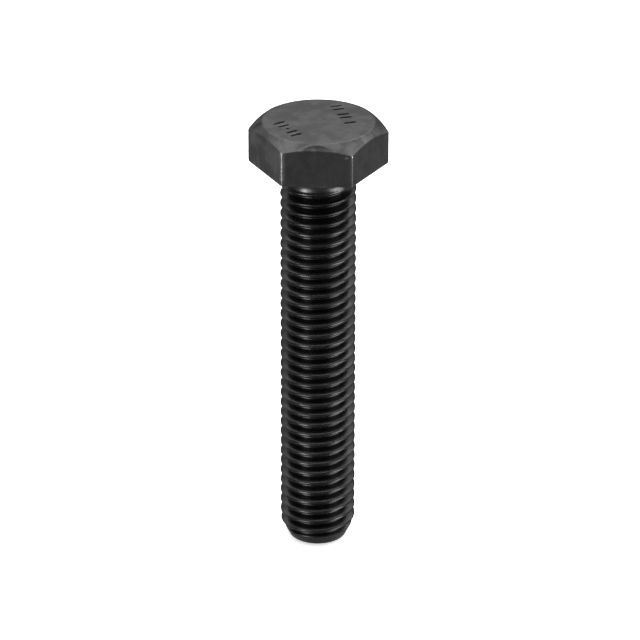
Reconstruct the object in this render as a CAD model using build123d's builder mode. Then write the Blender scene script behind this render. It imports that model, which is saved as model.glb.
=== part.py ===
from build123d import *
from math import atan2, cos, degrees, pi, radians, sin, sqrt, tan
import os

# Hex bolt M12 x 1.75 x 65, threaded to the head, in millimetres.
# The origin is the centre of the bearing face. +Z runs up through the head, and the shank hangs below.

# Head
across_flats = 19.0
head_height = 7.5
corner_radius = 0.35
top_circle_radius = 8.75
top_chamfer_angle = 30.0
washer_face_height = 0.6
washer_face_radius = 8.7
washer_face_draft = 0.2

# Stamped marks on the head: two rows of plain bars that stand for nothing
mark_depth = 0.2
bar_width = 0.55
bar_length = 2.0
left_row_centre = (-4.7, -3.0)
left_row_angle = -58.0
left_row_bars = (-2.6, -1.3, 1.3, 2.6)
right_row_centre = (3.9, 2.4)
right_row_angle = -70.0
right_row_bars = (-3.9, -2.6, -0.5, 0.8, 2.9)

# Shank
length = 65.0
pitch = 1.75
crest_radius = 5.98
neck_radius = 5.6
underhead_radius = 0.6
neck_length = 1.5
tip_radius = 4.5
tip_chamfer_length = 2.9

# Thread, ISO metric: 60 degree flanks, crest an eighth of the pitch wide
flank_angle = 30.0
crest_width = pitch / 8
thread_depth = 17 / 24 * pitch * sqrt(3) / 2
root_radius = crest_radius - thread_depth
root_width = crest_width + 2 * thread_depth * tan(radians(flank_angle))
crest_height_at_x = -0.25
least_ridge = 0.05
run_in_turns = 0.5
run_out_turns = 0.75

# Heights that follow
neck_cone_length = neck_radius - root_radius
core_top = -neck_length - neck_cone_length
chamfer_slope = (crest_radius - tip_radius) / tip_chamfer_length
core_bottom = -length + (root_radius - tip_radius) / chamfer_slope


def stamp_row(centre, angle, bar_places):
    """A row of parallel slots across a line through the centre, at those places along it."""
    with Locations(Location((*centre, 0), (0, 0, angle))):
        with Locations(*[(place, 0) for place in bar_places]):
            SlotOverall(bar_length, bar_width, rotation=90)


def conical_helix(start, end):
    """The line round the axis from one (turn, height, radius) to another, changing evenly with the turn."""
    turn, height, radius = start
    end_turn, end_height, end_radius = end
    rise = end_height - height
    cone_angle = atan2(end_radius - radius, rise)
    generator_pitch = rise / (end_turn - turn) / cos(cone_angle)
    line = Helix(generator_pitch, rise, radius, center=(0, 0, height), cone_angle=degrees(cone_angle))
    return Rot(0, 0, 360 * turn) * line


def ridge_corners(height, ridge_top):
    """The four corners of the ridge's section, as (turn, height, radius), in order round it."""
    turn = (height - crest_height_at_x) / pitch
    half_top = crest_width / 2 + (crest_radius - ridge_top) * tan(radians(flank_angle))
    half_foot = root_width / 2
    return [
        (turn, height - half_foot, root_radius),
        (turn, height - half_top, ridge_top),
        (turn, height + half_top, ridge_top),
        (turn, height + half_foot, root_radius),
    ]


def ridge_end(corners):
    """The small flat face that closes the ridge at one end."""
    points = [(r * cos(2 * pi * turn), r * sin(2 * pi * turn), z) for turn, z, r in corners]
    return Face(Wire.make_polygon(points, close=True))


def helical_ridge(stations):
    """A solid wound round the axis through the stations, each a (height, ridge top radius)."""
    sections = [ridge_corners(height, ridge_top) for height, ridge_top in stations]
    faces = [ridge_end(sections[0]), ridge_end(sections[-1])]
    for lower, upper in zip(sections, sections[1:]):
        lines = [conical_helix(start, end) for start, end in zip(lower, upper)]
        for line, next_line in zip(lines, lines[1:] + lines[:1]):
            faces.append(Face.make_surface_from_curves(line, next_line))
    return Solid(Shell(Face.sew_faces(faces)[0]))


# The forged hexagon. A cone has cut its top corners back to the top circle.
corner_reach = across_flats / sqrt(3)
corner_drop = (corner_reach - top_circle_radius) * tan(radians(top_chamfer_angle))
with BuildPart() as hex_head:
    with BuildSketch(Plane.XY.offset(washer_face_height)) as hexagon:
        RegularPolygon(across_flats / 2, 6, major_radius=False)
        fillet(hexagon.vertices(), corner_radius)
    extrude(amount=head_height - washer_face_height)
    with BuildSketch(Plane.XZ):
        with BuildLine():
            Polyline(
                (0, washer_face_height),
                (corner_reach, washer_face_height),
                (corner_reach, head_height - corner_drop),
                (top_circle_radius, head_height),
                (0, head_height),
                close=True,
            )
        make_face()
    revolve(axis=Axis.Z, mode=Mode.INTERSECT)
    with BuildSketch(Plane.XY.offset(head_height)):
        with Locations(left_row_centre):
            Circle(bar_width / 2)
        stamp_row(left_row_centre, left_row_angle, left_row_bars)
        stamp_row(right_row_centre, right_row_angle, right_row_bars)
    extrude(amount=-mark_depth, mode=Mode.SUBTRACT)
hex_head.part.label = "hex_head"

# The round bearing ring under the hexagon. The neck passes through it.
ring_inner_radius = neck_radius + underhead_radius
with BuildPart() as washer_face:
    with BuildSketch(Plane.XZ):
        with BuildLine():
            Polyline(
                (ring_inner_radius, 0),
                (washer_face_radius, 0),
                (washer_face_radius + washer_face_draft, washer_face_height),
                (ring_inner_radius, washer_face_height),
                close=True,
            )
        make_face()
    revolve(axis=Axis.Z)
washer_face.part.label = "washer_face"

# The neck: a plug inside the ring, the underhead fillet, a plain collar, and a cone down to the core.
with BuildPart() as neck:
    with BuildSketch(Plane.XZ):
        with BuildLine():
            Line((neck_radius, -underhead_radius), (neck_radius, -neck_length))
            Polyline((neck_radius, -neck_length), (root_radius, core_top), (0, core_top))
            Line((0, core_top), (0, washer_face_height))
            Line((0, washer_face_height), (ring_inner_radius, washer_face_height))
            Line((ring_inner_radius, washer_face_height), (ring_inner_radius, 0))
            RadiusArc((ring_inner_radius, 0), (neck_radius, -underhead_radius), -underhead_radius)
        make_face()
    revolve(axis=Axis.Z)
neck.part.label = "neck"

# The core that the thread stands on.
with BuildPart() as shank_core:
    with BuildSketch(Plane.XY.offset(core_top)):
        Circle(root_radius)
    extrude(amount=core_bottom - core_top)
shank_core.part.label = "shank_core"

# The right-hand thread. It rises out of the core under the neck and sinks back into it at the point.
first_height = core_bottom + root_width / 2
last_height = core_top - root_width / 2
with BuildPart() as thread:
    add(
        helical_ridge(
            [
                (first_height, root_radius + least_ridge),
                (first_height + run_out_turns * pitch, crest_radius),
                (last_height - run_in_turns * pitch, crest_radius),
                (last_height, root_radius + least_ridge),
            ]
        )
    )
thread.part.label = "thread"

# The plain chamfered end.
with BuildPart() as point:
    with BuildSketch(Plane.XZ):
        with BuildLine():
            Polyline(
                (0, core_bottom),
                (root_radius, core_bottom),
                (tip_radius, -length),
                (0, -length),
                close=True,
            )
        make_face()
    revolve(axis=Axis.Z)
point.part.label = "point"

os.makedirs("parts", exist_ok=True)
export_step(hex_head.part, "parts/hex_head.step")
export_step(washer_face.part, "parts/washer_face.step")
export_step(neck.part, "parts/neck.step")
export_step(shank_core.part, "parts/shank_core.step")
export_step(thread.part, "parts/thread.step")
export_step(point.part, "parts/point.step")
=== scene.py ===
"""Hex bolt M12 x 1.75 x 65 in black-oxide steel: the detailed pieces, their finish, and a plain studio."""

import math

import bpy
import numpy as np
from mathutils import Matrix, Vector


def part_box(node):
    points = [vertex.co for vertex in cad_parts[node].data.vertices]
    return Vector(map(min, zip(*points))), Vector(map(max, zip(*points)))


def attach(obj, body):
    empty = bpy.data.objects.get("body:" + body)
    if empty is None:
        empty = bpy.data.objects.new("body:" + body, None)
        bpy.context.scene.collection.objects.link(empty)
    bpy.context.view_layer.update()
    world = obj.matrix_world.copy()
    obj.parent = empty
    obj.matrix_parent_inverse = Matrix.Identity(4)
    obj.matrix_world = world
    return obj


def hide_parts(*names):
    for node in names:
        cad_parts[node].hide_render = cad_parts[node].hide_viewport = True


MM = 0.001
TAU = 2 * math.pi
HEX_HALF_TURN = math.radians(30)
SHARP_ANGLE = math.radians(55)

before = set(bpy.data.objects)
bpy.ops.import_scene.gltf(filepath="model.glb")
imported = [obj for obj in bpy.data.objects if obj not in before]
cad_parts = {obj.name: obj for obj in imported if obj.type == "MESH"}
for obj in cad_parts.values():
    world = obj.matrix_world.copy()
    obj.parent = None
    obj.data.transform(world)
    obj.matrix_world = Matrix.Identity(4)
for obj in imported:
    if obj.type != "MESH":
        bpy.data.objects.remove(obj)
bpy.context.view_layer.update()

# ---------------------------------------------------------------- sizes in millimetres, from the frame


def node_box(node):
    """A CAD node's lowest and highest corners, in millimetres."""
    low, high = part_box(node)
    return np.array(low) / MM, np.array(high) / MM


head_low, head_high = node_box("hex_head")
thread_low, thread_high = node_box("thread")
point_low, point_high = node_box("point")
_, ring_high = node_box("washer_face")
_, neck_high = node_box("neck")
_, core_high = node_box("shank_core")

APOTHEM = head_high[1]
HEAD_TOP = head_high[2]
HEAD_BOTTOM = head_low[2]
RING_TOP_RADIUS = ring_high[0]
NECK_TOP_RADIUS = neck_high[0]
ROOT_RADIUS = core_high[0]
CREST_RADIUS = (thread_high[0] - thread_low[0]) / 2
THREAD_BOTTOM = point_high[2]
TIP_HEIGHT = point_low[2]

# ---------------------------------------------------------------- sizes that the frame's boxes don't say

PITCH = 1.75
CREST_HEIGHT_AT_X = -0.25
FLANK_ANGLE = math.radians(30)
CREST_HALF_WIDTH = 0.15
CREST_ROUND = 0.2
THREAD_DEPTH = CREST_RADIUS - ROOT_RADIUS
ROOT_ROUND = (PITCH / 2 - CREST_HALF_WIDTH) / math.tan(FLANK_ANGLE) - THREAD_DEPTH

UNDERHEAD_RADIUS = 0.6
NECK_RADIUS = NECK_TOP_RADIUS - UNDERHEAD_RADIUS
WAIST_RADIUS = NECK_RADIUS - 0.05
WAIST_HEIGHT = -2.1
FLARE_POWER = 1.5
NECK_BOTTOM = -1.5
NECK_FINE_FROM = -0.4
RUN_OUT_START = -2.0
RUN_OUT_END = -3.1
FORMING_LENGTH = 3.5
NECK_POLISH = 1.0
SLEEVE_INNER_RADIUS = ROOT_RADIUS - 0.4
TIP_RADIUS = 4.5
TIP_CHAMFER = 2.9
TIP_CREASE = 0.18
TIP_CREASE_HEIGHT = 0.8
TIP_ROUND = 0.2
DISH_DEPTH = 0.1
DISH_ROUND = 0.15

TOP_CIRCLE_RADIUS = 8.8
TOP_CIRCLE_CENTRE = np.array([0.0, 0.15])
RING_RADIUS = 8.7
RING_ROUND = 0.12
# Where a solid of revolution's ends close in on its axis
CAP_RADIUS = 0.5

# ---------------------------------------------------------------- mesh helpers


def smoothstep(x):
    x = np.clip(x, 0, 1)
    return x * x * (3 - 2 * x)


def smooth_min(a, b, reach):
    """The lower of two surfaces, with the crease between them rounded over reach."""
    reach = np.maximum(reach, 1e-6)
    h = np.clip(0.5 + 0.5 * (b - a) / reach, 0, 1)
    return b * (1 - h) + a * h - reach * h * (1 - h)


def curve(start, corner, end, t):
    """The point, or ring of points, at t along the curve that eases a corner."""
    return (1 - t) ** 2 * start + 2 * t * (1 - t) * corner + t * t * end


def on_circle(radius, angle, height):
    return radius * math.cos(angle), radius * math.sin(angle), height


def add_to_scene(name, data):
    thing = bpy.data.objects.new(name, data)
    bpy.context.scene.collection.objects.link(thing)
    return thing


def make_piece(name, points, faces, material, replaced, marks=None):
    """A smooth mesh from points in millimetres, riding on the one body.

    Marks are named values of its points.
    """
    mesh = bpy.data.meshes.new(name)
    mesh.from_pydata((np.asarray(points) * MM).tolist(), [], faces)
    mesh.validate()
    mesh.polygons.foreach_set("use_smooth", np.ones(len(mesh.polygons), bool))
    mesh.set_sharp_from_angle(angle=SHARP_ANGLE)
    for mark, values in (marks or {}).items():
        layer = mesh.attributes.new(mark, "FLOAT", "POINT")
        layer.data.foreach_set("value", np.asarray(values, np.float32))
    mesh.materials.append(material)
    piece = add_to_scene(name, mesh)
    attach(piece, "root")
    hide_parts(replaced)
    return piece


def tidy_faces(faces):
    """Faces with repeated corners dropped to triangles, or left out."""
    kept = []
    for face in faces:
        corners = []
        for corner in face:
            if corner not in corners:
                corners.append(corner)
        if len(corners) > 2:
            kept.append(corners)
    return kept


def ring_faces(first, second, count):
    """Quads between two rings of count points that start at those indices."""
    faces = []
    for i in range(count):
        j = (i + 1) % count
        faces.append((first + i, first + j, second + j, second + i))
    return faces


def skin_rings(rings):
    """Points and faces of a closed solid whose rings go from its bottom centre out and up to its top."""
    count = rings.shape[1]
    points = [rings[0].mean(axis=0)]
    points.extend(rings.reshape(-1, 3))
    points.append(rings[-1].mean(axis=0))
    last = len(points) - 1
    faces = []
    for i in range(count):
        j = (i + 1) % count
        faces.append((0, 1 + j, 1 + i))
        faces.append((last, last - count + i, last - count + j))
    for r in range(len(rings) - 1):
        faces.extend(ring_faces(1 + r * count, 1 + (r + 1) * count, count))
    return np.array(points), faces


def rounded(profile, corner_radii, steps=6):
    """A profile of (radius, height) points with each inner corner eased over its own reach."""
    profile = [np.array(p, float) for p in profile]
    eased = [profile[0]]
    for k in range(1, len(profile) - 1):
        before, corner, after = profile[k - 1], profile[k], profile[k + 1]
        reach = corner_radii[k - 1]
        if reach <= 0:
            eased.append(corner)
            continue
        start = corner + (before - corner) * reach / np.linalg.norm(before - corner)
        end = corner + (after - corner) * reach / np.linalg.norm(after - corner)
        for t in np.linspace(0, 1, steps):
            eased.append(curve(start, corner, end, t))
    eased.append(profile[-1])
    return np.array(eased)


def revolve(profile, count=160):
    """Rings of a solid of revolution from a profile of (radius, height) points."""
    angles = np.linspace(0, TAU, count, endpoint=False)
    circle = np.stack([np.cos(angles), np.sin(angles)], axis=1)
    rings = []
    for radius, height in profile:
        ring = np.empty((count, 3))
        ring[:, :2] = circle * radius
        ring[:, 2] = height
        rings.append(ring)
    return np.array(rings)


# ---------------------------------------------------------------- material helpers


class Nodes:
    """Short calls that add and wire the nodes of one material or world."""

    def __init__(self, tree):
        self.tree = tree
        tree.nodes.clear()

    def add(self, kind, **inputs):
        node = self.tree.nodes.new(kind)
        for key, value in inputs.items():
            self.set(node, key.replace("_", " "), value)
        return node

    def set(self, node, key, value):
        """A node output is wired in, anything else is a plain value."""
        if isinstance(value, bpy.types.NodeSocket):
            self.tree.links.new(value, node.inputs[key])
        else:
            node.inputs[key].default_value = value

    def math(self, operation, a, b=0.0, clamp=False):
        node = self.tree.nodes.new("ShaderNodeMath")
        node.operation = operation
        node.use_clamp = clamp
        self.set(node, 0, a)
        self.set(node, 1, b)
        return node.outputs[0]

    def spread(self, value, low, high, to_low=0.0, to_high=1.0):
        """A value's range from low to high, taken smoothly to another range."""
        node = self.tree.nodes.new("ShaderNodeMapRange")
        node.interpolation_type = "SMOOTHSTEP"
        for key, number in zip(range(5), (value, low, high, to_low, to_high)):
            self.set(node, key, number)
        return node.outputs[0]

    def noise(self, vector, scale, detail=3.0, roughness=0.55):
        node = self.add("ShaderNodeTexNoise", Vector=vector, Scale=scale, Detail=detail, Roughness=roughness)
        return node.outputs["Fac"]

    def stretched(self, vector, scale):
        node = self.add("ShaderNodeMapping", Vector=vector)
        node.inputs["Scale"].default_value = scale
        return node.outputs["Vector"]

    def blend(self, share, first, second):
        node = self.tree.nodes.new("ShaderNodeMix")
        node.data_type = "RGBA"
        self.set(node, 0, share)
        self.set(node, 6, first)
        self.set(node, 7, second)
        return node.outputs[2]

    def mark(self, name):
        """The value that a piece's points carry under that name, 0 where they carry none."""
        node = self.tree.nodes.new("ShaderNodeAttribute")
        node.attribute_name = name
        return node.outputs["Fac"]

    def bump(self, height, distance, strength, normal=None):
        node = self.add("ShaderNodeBump", Height=height, Strength=strength, Distance=distance)
        if normal is not None:
            self.set(node, "Normal", normal)
        return node.outputs["Normal"]

    def end(self, shader, kind="ShaderNodeOutputMaterial"):
        """The output node, which shows that shader."""
        output = self.tree.nodes.new(kind)
        self.tree.links.new(shader.outputs[0], output.inputs["Surface"])


def grey(level):
    return (level, level, level, 1.0)


def new_material(name):
    """A new material, and the Nodes that build it."""
    material = bpy.data.materials.new(name)
    material.use_nodes = True
    return material, Nodes(material.node_tree)


# How many cells of noise each layer of the finish has to a metre
PATCHES = 150.0
MOTTLE = 420.0
STREAKS = 1500.0
WEAR = 2600.0
GRAIN = 6500.0
# How far apart the highs and lows of each layer's bump are
PATCH_DEPTH = 0.05 * MM
MOTTLE_DEPTH = 0.02 * MM
STREAK_DEPTH = 0.012 * MM
GRAIN_DEPTH = 0.006 * MM
STREAK_STRETCH = (1.0, 1.0, 0.07)
BARE_STEEL = (0.42, 0.414, 0.403, 1.0)


def black_oxide(name, greys, roughness, shine, relief, streaks):
    """Black-oxide steel: a mottled oxide with a fine grain, and bare metal where the mesh is marked worn.

    Greys, roughness and shine are ranges. Relief scales the bump, and streaks is the drawn streaks' share.
    Inside the stamped marks the colour is painted darker and the gloss taken out, as painted shade in the
    recesses; the dark patch on the chamfer is darkened the same way.
    """
    material, n = new_material(name)
    place = n.add("ShaderNodeTexCoord").outputs["Object"]
    mottle = n.noise(place, MOTTLE, 5.0, 0.6)
    patches = n.noise(place, PATCHES, 3.0, 0.55)
    grain = n.noise(place, GRAIN, 3.0, 0.6)
    streak = n.noise(n.stretched(place, STREAK_STRETCH), STREAKS, 4.0, 0.6)

    tone = n.math("ADD", n.math("MULTIPLY", mottle, 0.6), n.math("MULTIPLY", patches, 0.4))
    tone = n.spread(tone, 0.41, 0.59)
    tone = n.math("ADD", n.math("MULTIPLY", tone, 1 - streaks), n.math("MULTIPLY", streak, streaks))
    oxide = n.blend(tone, grey(greys[0]), grey(greys[1]))

    ragged = n.spread(n.noise(place, WEAR, 4.0, 0.7), 0.35, 0.65, 0.35, 1.0)
    bare = n.math("MULTIPLY", n.mark("wear"), ragged, clamp=True)
    # Painted shade: inside the stamped marks the colour is darkened and the gloss taken out; the dark patch
    # on the chamfer is darkened the same way.
    recess_shade_and_dark_patch = n.mark("recess_shade_and_dark_patch")
    colour = n.blend(bare, oxide, BARE_STEEL)
    colour = n.blend(recess_shade_and_dark_patch, colour, grey(greys[0] * 0.3))

    rough = n.spread(tone, 0.0, 1.0, roughness[1], roughness[0])
    rough = n.math("ADD", rough, n.math("MULTIPLY", recess_shade_and_dark_patch, 0.4), clamp=True)
    gloss = n.spread(tone, 0.0, 1.0, shine[0], shine[1])
    gloss = n.math("MULTIPLY", gloss, n.math("SUBTRACT", 1.0, recess_shade_and_dark_patch))
    gloss = n.math("MULTIPLY", gloss, n.math("ADD", 1.0, n.mark("polish")))

    normal = n.bump(patches, PATCH_DEPTH * relief, 0.35)
    normal = n.bump(mottle, MOTTLE_DEPTH * relief, 0.5, normal)
    normal = n.bump(streak, STREAK_DEPTH * streaks, 1.0, normal)
    normal = n.bump(grain, GRAIN_DEPTH * relief, 0.8, normal)

    steel = n.add("ShaderNodeBsdfPrincipled", Base_Color=colour, Metallic=bare, Roughness=rough)
    n.set(steel, "Normal", normal)
    n.set(steel, "Specular IOR Level", gloss)
    n.end(steel)
    return material


head_steel = black_oxide(
    "head_black_oxide",
    greys=(0.003, 0.018),
    roughness=(0.28, 0.40),
    shine=(0.31, 0.55),
    relief=1.0,
    streaks=0.45,
)
shank_steel = black_oxide(
    "shank_black_oxide",
    greys=(0.0015, 0.006),
    roughness=(0.13, 0.18),
    shine=(0.24, 0.32),
    relief=0.08,
    streaks=0.0,
)
thread_steel = black_oxide(
    "thread_black_oxide",
    greys=(0.0015, 0.006),
    roughness=(0.24, 0.32),
    shine=(0.24, 0.32),
    relief=0.08,
    streaks=0.0,
)

# ---------------------------------------------------------------- the hexagon head

ARC_STEPS = 12
FLAT_STEPS = 60
CORNERS = 6
# The rounding of each corner, from the one on +X round to the right of the front flat.
CORNER_ROUNDS = (0.35, 0.38, 0.35, 0.35, 0.42, 0.15)


def hex_outline(apothem):
    """The rounded hexagon of that apothem, with corners on the X axis and as many points at any size."""
    points = []
    for corner in range(CORNERS):
        facing = corner * TAU / CORNERS
        rounding, next_rounding = CORNER_ROUNDS[corner], CORNER_ROUNDS[(corner + 1) % CORNERS]
        towards = np.array([math.cos(facing), math.sin(facing)])
        middle = (apothem - rounding) / math.cos(HEX_HALF_TURN) * towards
        for turn in np.linspace(-HEX_HALF_TURN, HEX_HALF_TURN, ARC_STEPS):
            points.append(middle + rounding * np.array([math.cos(facing + turn), math.sin(facing + turn)]))
        normal = np.array([math.cos(facing + HEX_HALF_TURN), math.sin(facing + HEX_HALF_TURN)])
        along = np.array([-normal[1], normal[0]])
        first = math.tan(HEX_HALF_TURN) * (rounding - apothem)
        last = math.tan(HEX_HALF_TURN) * (apothem - next_rounding)
        for place in np.linspace(first, last, FLAT_STEPS + 2)[1:-1]:
            points.append(normal * apothem + along * place)
    return np.array(points)


OUTLINE = hex_outline(APOTHEM)
DIRECTIONS = OUTLINE / np.linalg.norm(OUTLINE, axis=1)[:, None]
COLUMNS = len(OUTLINE)


def corner_share():
    """For each outline point: its share of the way to a corner's middle, that corner, and its distance."""
    share = np.zeros(COLUMNS)
    nearest = np.zeros(COLUMNS, int)
    for corner in range(CORNERS):
        first = corner * (ARC_STEPS + FLAT_STEPS)
        share[first : first + ARC_STEPS] = 1 - np.abs(np.linspace(-1, 1, ARC_STEPS))
        nearest[first - FLAT_STEPS // 2 : first + ARC_STEPS + FLAT_STEPS // 2] = corner
    nearest[-(FLAT_STEPS // 2) :] = 0
    middles = OUTLINE[np.arange(CORNERS) * (ARC_STEPS + FLAT_STEPS) + ARC_STEPS // 2]
    return share, nearest, np.linalg.norm(OUTLINE - middles[nearest], axis=1)


# The flats' top edge is a low arc on each flat. These are its heights at each corner, from the one on +X
# round, and at the middle of each flat.
EDGE_CORNERS = (5.8, 5.95, 6.0, 6.03, 6.0, 5.76)
EDGE_MIDDLES = (6.95, 6.95, 7.05, 6.72, 6.67, 6.5)
EDGE_WANDER = 0.02


def flat_top_heights():
    """For each outline point, the height at which its wall meets the chamfer."""
    angle = (np.arctan2(OUTLINE[:, 1], OUTLINE[:, 0]) + TAU) % TAU
    side = np.floor(angle / (TAU / CORNERS)).astype(int)
    across = np.tan(angle - (side + 0.5) * TAU / CORNERS) / math.tan(HEX_HALF_TURN)
    first = np.array(EDGE_CORNERS)[side]
    last = np.array(EDGE_CORNERS)[(side + 1) % CORNERS]
    straight = first + (last - first) * (across + 1) / 2
    bulge = np.array(EDGE_MIDDLES)[side] - (first + last) / 2
    wander = EDGE_WANDER * np.sin(3 * angle + 1) + EDGE_WANDER * np.sin(11 * angle)
    return straight + bulge * (1 - across**2) + wander


# A chip in the front flat's top edge: a shallow scoop in the chamfer with a raised lip on its left.
CHIP_MIDDLE = 0.1
CHIP_HALF_WIDTH = 2.3
CHIP_REACH = 0.66
CHIP_DEPTH = 0.13
CHIP_LIP = 0.025
CHIP_LIP_PLACE = 1.15
CHIP_LIP_WIDTH = 0.2
CHIP_WEAR = 0.2


def chipped(points):
    """How deep the chip goes at each point, less where its lip is raised, and how worn that lip is."""
    x, depth_in = points[:, 0], APOTHEM + points[:, 1]
    across = np.hypot((x - CHIP_MIDDLE) / CHIP_HALF_WIDTH, depth_in / CHIP_REACH)
    on_left = smoothstep((CHIP_MIDDLE - 0.5 - x) / 0.6)
    lip = np.exp(-(((across - CHIP_LIP_PLACE) / CHIP_LIP_WIDTH) ** 2)) * on_left
    return CHIP_DEPTH * np.clip(1 - across**2, 0, 1) - CHIP_LIP * lip, CHIP_WEAR * lip


# Stamped marks on the head's top: two rows of plain bars that stand for nothing. Inside them the finish
# carries painted shade.
BAR_LENGTH = 2.0
BAR_WIDTH = 0.55
DOT_LENGTH = 1e-3
MARK_DEPTH = 0.2
MARK_WALL_TOP = 0.06
MARK_WALL_WIDTH = 0.14
MARK_RIM = 0.025
MARK_RIM_PLACE = 0.13
MARK_RIM_WIDTH = 0.09
LEFT_ROW = ((-4.7, -3.0), -58.0, (-2.6, -1.3, 1.3, 2.6))
RIGHT_ROW = ((3.9, 2.4), -70.0, (-3.9, -2.6, -0.5, 0.8, 2.9))


def bar_ends():
    """The two end points of each stamped bar's centre line, and of the dot between the left row's pairs."""
    bars = []
    half = (BAR_LENGTH - BAR_WIDTH) / 2
    for centre, angle, places in (LEFT_ROW, RIGHT_ROW):
        row = math.radians(angle)
        along = np.array([math.cos(row), math.sin(row)])
        across = np.array([-along[1], along[0]])
        for place in places:
            middle = np.array(centre) + along * place
            bars.append((middle - across * half, middle + across * half))
    dot = np.array(LEFT_ROW[0])
    bars.append((dot, dot + DOT_LENGTH))
    return bars


def distance_to_bar(points, start, end):
    line = end - start
    share = np.clip(((points - start) @ line) / (line @ line), 0, 1)
    return np.linalg.norm(points - start - share[:, None] * line, axis=1)


def stamped(points):
    """How far inside a stamped bar each (x, y) is, from 0 to 1, and the height of the rim raised round it."""
    inside = np.zeros(len(points))
    rim = np.zeros(len(points))
    for start, end in bar_ends():
        away = distance_to_bar(points, start, end) - BAR_WIDTH / 2
        inside = np.maximum(inside, smoothstep((MARK_WALL_TOP - away) / MARK_WALL_WIDTH))
        rim = np.maximum(rim, MARK_RIM * np.exp(-(((away - MARK_RIM_PLACE) / MARK_RIM_WIDTH) ** 2)))
    return inside, rim * (1 - inside)


# The foot of the walls, the walls, and how the chamfer meets the walls and the top
UNDERSIDE_REACHES = (0.2, 0.6, 0.8, 0.9, 0.97, 0.99)
FOOT_BEVEL_HEIGHT = 0.47
FOOT_BEVEL_INSET = 0.04
FOOT_ROUND = 0.08
WALL_ROWS = 30
EDGE_ROUND = 0.09
EDGE_ROWS = 6
CHAMFER_ROWS = 20
RIM_ROUND_FRONT = 0.06
RIM_ROUND_BACK = 0.6
RIM_ROWS = 8
TOP_ROW_STEP = 0.0105
# The top falls by CROWN from its middle to the top circle. It is at HEAD_TOP after this share of that fall.
CROWN = 0.1
CROWN_LEVEL = 0.4
# How worn each corner is, from the one on +X round to the right of the front flat, and at its top
CORNER_WEAR = (0.1, 0.25, 0.2, 0.1, 0.35, 0.1)
CORNER_WEAR_REACH = 0.35
CORNER_TIP_WEAR = (0.2, 0.3, 0.3, 0.2, 0.6, 1.0)
CORNER_TIP_SHARE = 0.4
CORNER_TIP_REACH = 0.3
FOOT_WEAR = 0.3
EDGE_WEAR = 0.04
CHAMFER_WEAR = 0.4
CHAMFER_WEAR_REACH = 0.25
# A darker, less glossy patch on the left of the chamfer, as (x, y, radius)
DARK_PATCH = (-9.2, -0.6, 1.0)
DARK_PATCH_SHARE = 0.65
# A small nick on the front flat, as (x, height, radius)
NICK = (4.6, 5.55, 0.17)
NICK_WEAR = 0.45
# The top circle is worn most to the right of the front.
RIM_WEAR = 0.3
RIM_WEAR_ANGLE = math.radians(-48)
RIM_WEAR_SPREAD = 0.4


def top_height(places):
    """The height of the head's top, which is very slightly crowned."""
    return HEAD_TOP + CROWN * (CROWN_LEVEL - (np.linalg.norm(places, axis=1) / TOP_CIRCLE_RADIUS) ** 2)


def on_top(places):
    return np.column_stack([places, top_height(places)])


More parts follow.
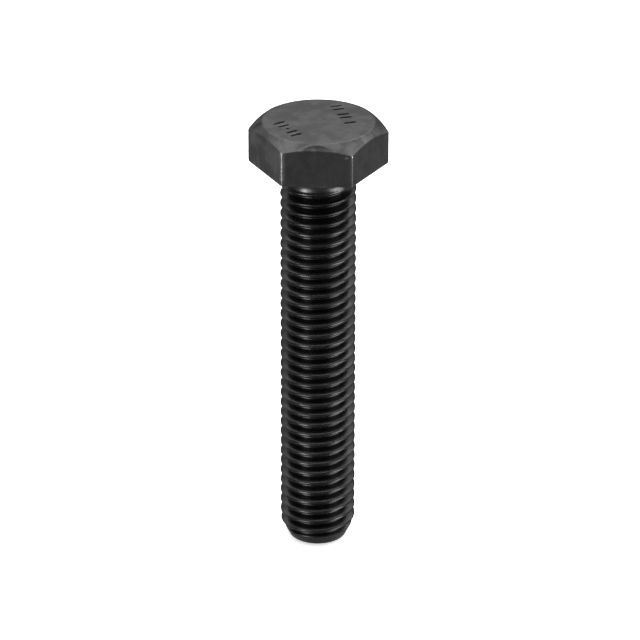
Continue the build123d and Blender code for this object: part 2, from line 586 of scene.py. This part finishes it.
class HeadRings:
    """The head's rings of points, from the middle of its underside out and up to the middle of its top.

    Each ring also says how worn its points are, how deep in a stamped mark they are, which sets the shade
    painted there, and how much of the dark patch they carry.
    """

    def __init__(self):
        self.rings, self.wear, self.recess_shade_and_dark_patch = [], [], []
        share, nearest, from_corner = corner_share()
        self.edge = flat_top_heights()
        fading = np.exp(-((from_corner / CORNER_WEAR_REACH) ** 2))
        self.corner_wear = np.array(CORNER_WEAR)[nearest] * fading
        self.tip_wear = np.array(CORNER_TIP_WEAR)[nearest] * smoothstep(share / CORNER_TIP_SHARE)

    def add(self, places, heights, worn=0.0, shade_and_patch_share=0.0):
        ring = np.empty((COLUMNS, 3))
        ring[:, :2] = places
        ring[:, 2] = heights
        self.rings.append(ring)
        self.wear.append(np.broadcast_to(worn, COLUMNS))
        # share of painted shade inside a stamped mark, and of the dark patch on the chamfer
        self.recess_shade_and_dark_patch.append(np.broadcast_to(shade_and_patch_share, COLUMNS))

    def add_chipped(self, ring, worn):
        """A ring of the chamfer, with the chip taken out of it and the dark patch on it."""
        depth, lip = chipped(ring)
        off_patch = np.hypot(ring[:, 0] - DARK_PATCH[0], ring[:, 1] - DARK_PATCH[1]) / DARK_PATCH[2]
        self.add(ring[:, :2], ring[:, 2] - depth, worn + lip, DARK_PATCH_SHARE * np.exp(-(off_patch**2)))

    def add_foot(self):
        """The underside and the bevelled foot of the walls. Returns the height where the walls start."""
        underside = hex_outline(APOTHEM - FOOT_BEVEL_INSET)
        for reach in UNDERSIDE_REACHES:
            self.add(underside * reach, HEAD_BOTTOM)
        foot = rounded(
            [
                (FOOT_BEVEL_INSET + 0.1, HEAD_BOTTOM),
                (FOOT_BEVEL_INSET, HEAD_BOTTOM),
                (0.0, HEAD_BOTTOM + FOOT_BEVEL_HEIGHT),
                (0.0, HEAD_BOTTOM + 2 * FOOT_BEVEL_HEIGHT),
            ],
            (FOOT_ROUND, FOOT_ROUND),
        )
        for inset, height in foot[1:]:
            self.add(hex_outline(APOTHEM - inset), height, FOOT_WEAR * self.corner_wear)
        return foot[-1][1]

    def add_walls(self, wall_foot):
        wall_top = self.edge - EDGE_ROUND - chipped(OUTLINE)[0]
        for height_share in np.linspace(0, 1, WALL_ROWS)[1:]:
            heights = wall_foot + (wall_top - wall_foot) * height_share
            tip = self.tip_wear * np.exp(-(((self.edge - heights) / CORNER_TIP_REACH) ** 2))
            off_nick = np.hypot(OUTLINE[:, 0] - NICK[0], heights - NICK[1]) / NICK[2]
            nick = NICK_WEAR * np.exp(-(off_nick**2)) * (OUTLINE[:, 1] < 0)
            self.add(OUTLINE, heights, np.maximum(self.corner_wear, tip) + nick)

    def add_chamfer(self):
        """From the walls' top edge straight in to the top circle, eased at both. Returns its last ring."""
        corner = np.column_stack([OUTLINE, self.edge])
        rim = on_top(TOP_CIRCLE_CENTRE + DIRECTIONS * TOP_CIRCLE_RADIUS)
        length = np.linalg.norm(rim - corner, axis=1)
        below = corner - [0, 0, EDGE_ROUND]
        start = corner + (rim - corner) * (EDGE_ROUND / length)[:, None]
        rim_round = RIM_ROUND_FRONT + (RIM_ROUND_BACK - RIM_ROUND_FRONT) * smoothstep(DIRECTIONS[:, 1])
        end = rim + (corner - rim) * (rim_round / length)[:, None]
        flat_places = TOP_CIRCLE_CENTRE + DIRECTIONS * (TOP_CIRCLE_RADIUS - rim_round)[:, None]
        for t in np.linspace(0, 1, EDGE_ROWS)[1:]:
            self.add_chipped(curve(below, corner, start, t), np.maximum(self.tip_wear, EDGE_WEAR))
        for t in np.linspace(0, 1, CHAMFER_ROWS)[1:]:
            worn = CHAMFER_WEAR * self.tip_wear * np.exp(-t * length / CHAMFER_WEAR_REACH)
            self.add_chipped(start + (end - start) * t, worn)
        off_worn = (np.arctan2(OUTLINE[:, 1], OUTLINE[:, 0]) - RIM_WEAR_ANGLE) / RIM_WEAR_SPREAD
        rim_wear = RIM_WEAR * np.exp(-(off_worn**2))
        for t in np.linspace(0, 1, RIM_ROWS)[1:]:
            self.add_chipped(curve(end, rim, on_top(flat_places), t), rim_wear * math.sin(math.pi * t))
        return flat_places

    def add_top(self, flat_places):
        for share_in in np.arange(1 - TOP_ROW_STEP, TOP_ROW_STEP, -TOP_ROW_STEP):
            places = flat_places * share_in
            inside, raised = stamped(places)
            # inside a stamped bar the top is sunk, and its finish carries painted shade
            self.add(places, top_height(places) - MARK_DEPTH * inside + raised, 0.0, inside)


def with_centres(values):
    """Ring values with one more at each end, for the centre points that skin_rings adds."""
    return np.concatenate([[0.0], np.array(values).ravel(), [0.0]])


def build_head():
    head = HeadRings()
    head.add_walls(head.add_foot())
    head.add_top(head.add_chamfer())
    points, faces = skin_rings(np.array(head.rings))
    # marks: how worn each point is, and its share of painted shade in the stamped marks and of the dark patch
    marks = {"wear": with_centres(head.wear), "recess_shade_and_dark_patch": with_centres(head.recess_shade_and_dark_patch)}
    return make_piece("hex_head_forging", points, faces, head_steel, "hex_head", marks)


# ---------------------------------------------------------------- the washer face, neck and point


def build_washer_face():
    """The raised ring, with the neck's hole through it: its last ring of points joins its first."""
    profile = rounded(
        [
            (NECK_TOP_RADIUS, 0.0),
            (RING_RADIUS, 0.0),
            (RING_TOP_RADIUS, HEAD_BOTTOM),
            (NECK_TOP_RADIUS, HEAD_BOTTOM),
        ],
        (RING_ROUND, 0.0),
    )
    rings = revolve(profile)
    count = rings.shape[1]
    points = rings.reshape(-1, 3)
    faces = []
    for r in range(len(rings)):
        faces.extend(ring_faces(r * count, (r + 1) % len(rings) * count, count))
    return make_piece("washer_face_ring", points, faces, head_steel, "washer_face")


def neck_radius(height):
    """The neck's radius: it flares from its waist, above the thread, up to the head."""
    rise = np.clip(1 - np.asarray(height) / WAIST_HEIGHT, 0, 1)
    return WAIST_RADIUS + (NECK_TOP_RADIUS - WAIST_RADIUS) * rise**FLARE_POWER


def polish(heights):
    """How much glossier than the rolled thread the plain neck is at each height."""
    return NECK_POLISH * smoothstep((heights - RUN_OUT_END) / (RUN_OUT_START - RUN_OUT_END))


def build_neck():
    lower = np.linspace(NECK_BOTTOM, NECK_FINE_FROM, 12)
    upper = np.linspace(NECK_FINE_FROM, 0, 10)
    heights = np.concatenate([lower, upper[1:]])
    profile = [(CAP_RADIUS, NECK_BOTTOM)]
    profile.extend(zip(neck_radius(heights), heights))
    profile.append((NECK_TOP_RADIUS, HEAD_BOTTOM))
    profile.append((CAP_RADIUS, HEAD_BOTTOM))
    points, faces = skin_rings(revolve(profile))
    marks = {"polish": polish(points[:, 2])}
    return make_piece("neck_fillet", points, faces, shank_steel, "neck", marks)


def build_point():
    """The chamfered end, whose face is slightly dished."""
    profile = rounded(
        [
            (0.3, TIP_HEIGHT + 1.2 * DISH_DEPTH),
            (TIP_RADIUS - 0.9, TIP_HEIGHT + DISH_DEPTH),
            (TIP_RADIUS - 0.5, TIP_HEIGHT),
            (TIP_RADIUS, TIP_HEIGHT),
            (ROOT_RADIUS, THREAD_BOTTOM),
            (0.3, THREAD_BOTTOM),
        ],
        (DISH_ROUND, DISH_ROUND, TIP_ROUND, 0.0),
    )
    points, faces = skin_rings(revolve(profile))
    return make_piece("chamfered_point", points, faces, shank_steel, "point")


# ---------------------------------------------------------------- the thread and the core inside it

TURN_STEPS = 96
# How near the thread's flat ends a row of points may come
END_GAP = 1e-3
# How far round the crest's and the root's roundings go, and the crest's plain part on each side of its middle
ROUND_TURN = math.radians(60)
CREST_FLAT = CREST_HALF_WIDTH - CREST_ROUND * math.tan(ROUND_TURN / 2)


def profile_offsets():
    """Where the thread's section is sampled along one pitch, as distances from the crest's middle."""
    crest = [CREST_FLAT + CREST_ROUND * math.sin(a) for a in np.radians([0, 20, 40, 60])]
    root = [PITCH / 2 - ROOT_ROUND * math.sin(a) for a in np.radians([60, 45, 30, 15])]
    flank = list(np.linspace(crest[-1], root[0], 4)[1:-1])
    one_side = crest + flank + root
    return np.array([-s for s in reversed(one_side)] + [0.0] + one_side + [PITCH / 2])


def section_radius(offset):
    """The thread's radius at a distance along the axis from the middle of a crest."""
    away = np.abs(offset)
    flank = CREST_RADIUS - (away - CREST_HALF_WIDTH) / math.tan(FLANK_ANGLE)
    over = np.clip(away - CREST_FLAT, 0, CREST_ROUND)
    crest = CREST_RADIUS - CREST_ROUND + np.sqrt(CREST_ROUND**2 - over**2)
    into = np.clip(PITCH / 2 - away, 0, ROOT_ROUND)
    root = ROOT_RADIUS + ROOT_ROUND - np.sqrt(ROOT_ROUND**2 - into**2)
    on_crest = away <= CREST_FLAT + CREST_ROUND * math.sin(ROUND_TURN)
    on_root = away >= PITCH / 2 - ROOT_ROUND * math.sin(ROUND_TURN)
    return np.where(on_crest, crest, np.where(on_root, root, flank))


def thread_radius(offset, height):
    """The shank's radius: the thread softens and fades out into the neck, and a cone cuts it at the point."""
    depth = smoothstep((RUN_OUT_START - height) / (RUN_OUT_START - RUN_OUT_END))
    wave = ROOT_RADIUS + THREAD_DEPTH * (0.5 + 0.5 * np.cos(TAU * offset / PITCH))
    formed = smoothstep((RUN_OUT_START - height) / FORMING_LENGTH)
    section = wave + formed * (section_radius(offset) - wave)
    neck = neck_radius(height)
    radius = neck + depth * (section - neck)
    cone = TIP_RADIUS + (height - TIP_HEIGHT) * (CREST_RADIUS - TIP_RADIUS) / TIP_CHAMFER
    ease = TIP_CREASE * np.clip((height - THREAD_BOTTOM) / TIP_CREASE_HEIGHT, 0, 1)
    return smooth_min(radius, cone, ease)


def build_thread():
    offsets = profile_offsets()
    per_pitch = len(offsets)
    turns = math.ceil((NECK_BOTTOM - THREAD_BOTTOM) / PITCH) + 3
    lowest = math.floor((THREAD_BOTTOM - CREST_HEIGHT_AT_X) / PITCH) - 1
    along = np.concatenate([(lowest + k) * PITCH + offsets for k in range(turns)]) + CREST_HEIGHT_AT_X
    section = np.tile(offsets, turns)
    rows = len(along)
    angles = np.linspace(0, TAU, TURN_STEPS, endpoint=False)

    # the outside, whose rows climb a pitch each turn and stop at the flat ends
    points = []
    index = np.empty((TURN_STEPS, rows), int)
    top_radius = float(neck_radius(NECK_BOTTOM))
    for i, angle in enumerate(angles):
        heights = along + PITCH * angle / TAU
        above_bottom = heights > THREAD_BOTTOM + END_GAP
        inside = above_bottom & (heights < NECK_BOTTOM - END_GAP)
        radii = thread_radius(section, heights)
        bottom, top = len(points), len(points) + 1
        points.append(on_circle(ROOT_RADIUS, angle, THREAD_BOTTOM))
        points.append(on_circle(top_radius, angle, NECK_BOTTOM))
        index[i] = np.where(above_bottom, top, bottom)
        index[i, inside] = len(points) + np.arange(inside.sum())
        for radius, height in zip(radii[inside], heights[inside]):
            points.append(on_circle(radius, angle, height))
    faces = []
    for i in range(TURN_STEPS):
        wrapped = i == TURN_STEPS - 1
        shift = per_pitch if wrapped else 0
        here, there = index[i], index[(i + 1) % TURN_STEPS, shift:]
        for j in range(rows - 1 - shift):
            faces.append((here[j], there[j], there[j + 1], here[j + 1]))

    # the inner wall, where the core sits, and the flat ends
    inner = len(points)
    for height in (THREAD_BOTTOM, NECK_BOTTOM):
        for angle in angles:
            points.append(on_circle(SLEEVE_INNER_RADIUS, angle, height))
    for i in range(TURN_STEPS):
        j = (i + 1) % TURN_STEPS
        low_i, low_j = inner + i, inner + j
        high_i, high_j = low_i + TURN_STEPS, low_j + TURN_STEPS
        faces.append((low_j, low_i, high_i, high_j))
        faces.append((index[i, 0], low_i, low_j, index[j, 0]))
        faces.append((index[i, -1], index[j, -1], high_j, high_i))

    faces = tidy_faces(faces)
    marks = {"polish": polish(np.array(points)[:, 2])}
    return make_piece("rolled_thread", points, faces, thread_steel, "thread", marks)


def build_core():
    profile = [
        (CAP_RADIUS, THREAD_BOTTOM),
        (SLEEVE_INNER_RADIUS, THREAD_BOTTOM),
        (SLEEVE_INNER_RADIUS, NECK_BOTTOM),
        (CAP_RADIUS, NECK_BOTTOM),
    ]
    points, faces = skin_rings(revolve(profile, TURN_STEPS))
    return make_piece("shank_core_bar", points, faces, shank_steel, "shank_core")


build_head()
build_washer_face()
build_neck()
build_thread()
build_core()
build_point()

# ---------------------------------------------------------------- studio

AIM = Vector((0.0, 0.0, -26.868 * MM))

CAMERA_AZIMUTH = 1.62
CAMERA_ELEVATION = 26.375
CAMERA_DISTANCE = 673.9 * MM
CAMERA_SIDEWAYS = 0.317 * MM
CAMERA_ROLL = math.radians(0.15)
CAMERA_CLIP_START = 0.01
SENSOR_WIDTH = 36.0
FOCAL_LENGTH = 239.26

SOFTBOX_DISTANCE = 0.6
FLOOR_HALF_WIDTH = 3.0
FLOOR_GREY = 0.9
FLOOR_GLOW = 0.6
BACKDROP_RADIUS = 2.9
BACKDROP_TOP = 3.0
BACKDROP_SIDES = 48


def direction(azimuth, elevation):
    """The unit vector to that azimuth and elevation in degrees. Azimuth 0 is in front, on -Y."""
    a, e = math.radians(azimuth), math.radians(elevation)
    return Vector((math.sin(a) * math.cos(e), -math.cos(a) * math.cos(e), math.sin(e)))


def facing(location, target):
    """The rotation of a camera or lamp at location that looks at target, with Z up."""
    return (target - location).to_track_quat("-Z", "Y")


def softbox(name, azimuth, elevation, size, power, only_gloss=True):
    """An area lamp that looks at the bolt's middle. It can be left to show in the bolt's gloss only."""
    lamp = bpy.data.lights.new(name, "AREA")
    lamp.shape = "RECTANGLE"
    lamp.size, lamp.size_y = size
    lamp.energy = power
    holder = add_to_scene(name, lamp)
    holder.location = AIM + direction(azimuth, elevation) * SOFTBOX_DISTANCE
    holder.rotation_mode = "QUATERNION"
    holder.rotation_quaternion = facing(holder.location, AIM)
    holder.visible_camera = False
    holder.visible_diffuse = not only_gloss


def stage_piece(name, points, faces, material):
    """A piece of the room, which never shows in the bolt or shades it."""
    mesh = bpy.data.meshes.new(name)
    mesh.from_pydata(points, [], faces)
    mesh.materials.append(material)
    piece = add_to_scene(name, mesh)
    piece.visible_glossy = False
    piece.visible_shadow = False
    return piece


def build_floor():
    half, height = FLOOR_HALF_WIDTH, TIP_HEIGHT * MM
    corners = [(-half, -half, height), (half, -half, height), (half, half, height), (-half, half, height)]
    material, n = new_material("pale_floor")
    shader = n.add("ShaderNodeBsdfPrincipled", Base_Color=grey(FLOOR_GREY), Roughness=1.0)
    n.set(shader, "Emission Color", grey(1.0))
    n.set(shader, "Emission Strength", FLOOR_GLOW)
    n.end(shader)
    floor = stage_piece("floor", corners, [(0, 1, 2, 3)], material)


def build_backdrop():
    """A plain white wall far behind the bolt, all the way round, that only the camera sees."""
    points = []
    for height in (TIP_HEIGHT * MM, BACKDROP_TOP):
        for angle in np.linspace(0, TAU, BACKDROP_SIDES, endpoint=False):
            points.append(on_circle(BACKDROP_RADIUS, angle, height))
    material, n = new_material("white_backdrop")
    n.end(n.add("ShaderNodeEmission", Color=grey(1.0), Strength=1.0))
    faces = ring_faces(0, BACKDROP_SIDES, BACKDROP_SIDES)
    backdrop = stage_piece("backdrop", points, faces, material)
    backdrop.visible_diffuse = False


def build_world():
    """The light of a pale room, by direction.

    It is bright behind and above, most of all at the back right and the back left. Under that it is dim at
    the sides, dark in front, and glows faintly straight down.
    """
    world = bpy.data.worlds.new("studio")
    world.use_nodes = True
    bpy.context.scene.world = world
    n = Nodes(world.node_tree)
    way = n.add("ShaderNodeTexCoord").outputs["Generated"]
    parts = n.add("ShaderNodeSeparateXYZ", Vector=way)
    x, y, z = parts.outputs["X"], parts.outputs["Y"], parts.outputs["Z"]

    back = n.spread(y, 0.2, 0.8, 0.15, 1.56)
    corners = n.math("ADD", n.spread(x, -0.8, -0.5, 2.0, 0.0), n.spread(x, 0.5, 0.8, 0.0, 6.6))
    above = n.math("ADD", back, n.math("MULTIPLY", corners, n.spread(y, 0.0, 0.4)))

    sides = n.math("ADD", n.spread(x, -0.9, -0.3, 0.52, 0.0), n.spread(x, 0.3, 0.9, 0.0, 0.2))
    beside = n.math("MULTIPLY", sides, n.spread(y, 0.22, 0.5))
    below = n.math("ADD", beside, n.spread(z, -1.0, -0.5, 0.5, 0.17))

    rise = n.spread(z, 0.22, 0.62)
    lit_above = n.math("MULTIPLY", above, rise)
    lit_below = n.math("MULTIPLY", n.math("SUBTRACT", 1.0, rise), below)
    level = n.math("ADD", lit_above, lit_below)
    n.end(n.add("ShaderNodeBackground", Color=grey(1.0), Strength=level), "ShaderNodeOutputWorld")


def build_camera():
    lens = bpy.data.cameras.new("camera")
    lens.sensor_width = SENSOR_WIDTH
    lens.lens = FOCAL_LENGTH
    lens.clip_start = CAMERA_CLIP_START
    camera = add_to_scene("camera", lens)
    place = AIM + direction(CAMERA_AZIMUTH, CAMERA_ELEVATION) * CAMERA_DISTANCE
    turn = facing(place, AIM)
    camera.location = place + turn @ Vector((CAMERA_SIDEWAYS, 0, 0))
    camera.rotation_mode = "QUATERNION"
    camera.rotation_quaternion = turn @ Matrix.Rotation(CAMERA_ROLL, 3, "Z").to_quaternion()
    bpy.context.scene.camera = camera


build_floor()
build_backdrop()
build_world()
build_camera()
bpy.context.scene.view_settings.view_transform = "Standard"
softbox("left_strip", -41, -14, (0.25, 0.66), 5.6)
softbox("right_strip", 64, -14, (0.38, 0.66), 6.8)
softbox("overhead", 180, 80, (0.9, 0.9), 7.9, only_gloss=False)
